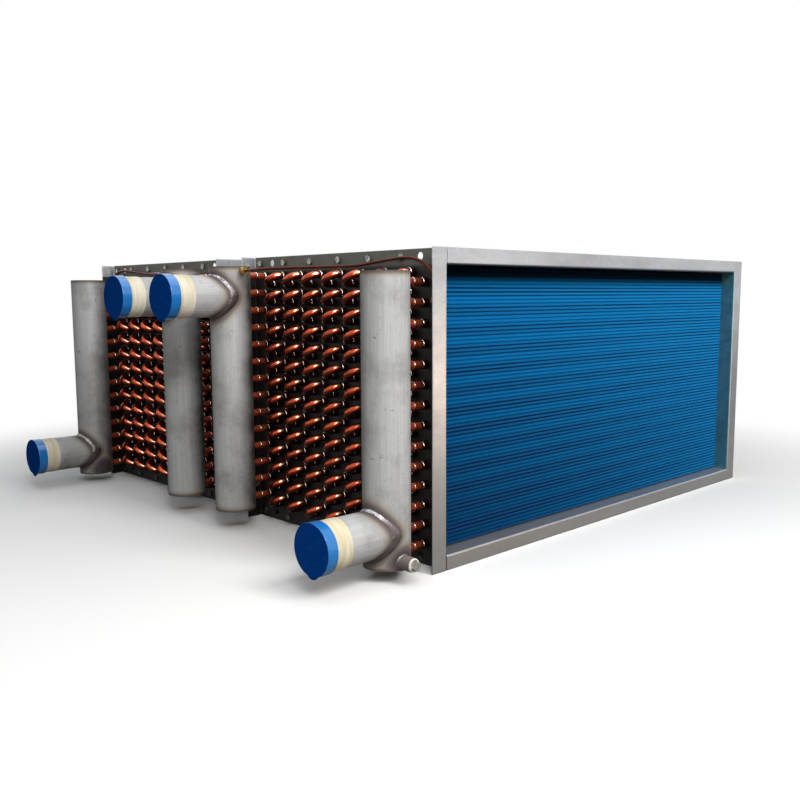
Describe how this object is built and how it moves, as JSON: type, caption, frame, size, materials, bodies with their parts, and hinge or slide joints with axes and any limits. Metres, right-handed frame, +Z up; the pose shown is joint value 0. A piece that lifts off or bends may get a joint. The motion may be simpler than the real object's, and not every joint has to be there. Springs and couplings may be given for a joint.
{
  "type": "finned condenser coil",
  "caption": "Finned coil in facing sections: blue fin packs in flanged sheet casings, copper tubes with brazed return bends, and stainless headers with capped branches.",
  "frame": {"origin": "on the floor under the middle of the whole coil", "axes": "+X along the tubes, away from the headers; +Y along the air path from the front section to the rear one; +Z up"},
  "size_m": [1.458, 1.363, 0.6],
  "materials": {
    "galvanised_sheet": "galvanised sheet, folded",
    "blue_fin": "blue coated fin stock",
    "copper": "drawn copper, darkened",
    "stainless_pipe": "pickled stainless pipe",
    "weld_metal": "heat tinted weld",
    "blue_cap": "moulded polyethylene",
    "masking_tape": "creped paper tape",
    "zinc_steel": "zinc plated",
    "thread_tape": "white thread tape",
    "brass": "turned brass"
  },
  "bodies": {
    "root": {"front_header_end_plate": "galvanised_sheet", "front_far_end_plate": "galvanised_sheet", "front_top_channel": "galvanised_sheet", "front_bottom_channel": "galvanised_sheet", "front_casing_bolts": "zinc_steel", "front_casing_nuts": "zinc_steel", "front_fin_pack": "blue_fin", "front_hairpin_tubes": "copper", "front_return_bends": "copper", "front_outer_feeders": "copper", "front_inner_feeders": "copper", "front_outer_header": "stainless_pipe", "front_inner_header": "stainless_pipe", "front_outer_header_discs": "stainless_pipe", "front_inner_header_discs": "stainless_pipe", "front_outer_branch": "stainless_pipe", "front_inner_branch": "stainless_pipe", "front_outer_branch_weld": "weld_metal", "front_inner_branch_weld": "weld_metal", "front_outer_pipe_cap": "blue_cap", "front_inner_pipe_cap": "blue_cap", "front_outer_pipe_tape": "masking_tape", "front_inner_pipe_tape": "masking_tape", "front_drain_socket": "stainless_pipe", "front_drain_plug": "zinc_steel", "front_drain_thread_tape": "thread_tape", "front_vent_fittings": "brass", "front_vent_tube": "copper", "rear_header_end_plate": "galvanised_sheet", "rear_far_end_plate": "galvanised_sheet", "rear_top_channel": "galvanised_sheet", "rear_bottom_channel": "galvanised_sheet", "rear_casing_bolts": "zinc_steel", "rear_casing_nuts": "zinc_steel", "rear_fin_pack": "blue_fin", "rear_hairpin_tubes": "copper", "rear_return_bends": "copper", "rear_outer_feeders": "copper", "rear_inner_feeders": "copper", "rear_outer_header": "stainless_pipe", "rear_inner_header": "stainless_pipe", "rear_outer_header_discs": "stainless_pipe", "rear_inner_header_discs": "stainless_pipe", "rear_outer_branch": "stainless_pipe", "rear_inner_branch": "stainless_pipe", "rear_outer_branch_weld": "weld_metal", "rear_inner_branch_weld": "weld_metal", "rear_outer_pipe_cap": "blue_cap", "rear_inner_pipe_cap": "blue_cap", "rear_outer_pipe_tape": "masking_tape", "rear_inner_pipe_tape": "masking_tape", "rear_drain_socket": "stainless_pipe", "rear_drain_plug": "zinc_steel", "rear_drain_thread_tape": "thread_tape", "rear_vent_fittings": "brass", "rear_vent_tube": "copper", "section_spacers": "zinc_steel", "section_tie_bolts": "zinc_steel", "section_tie_nuts": "zinc_steel"}
  },
  "joints": []
}
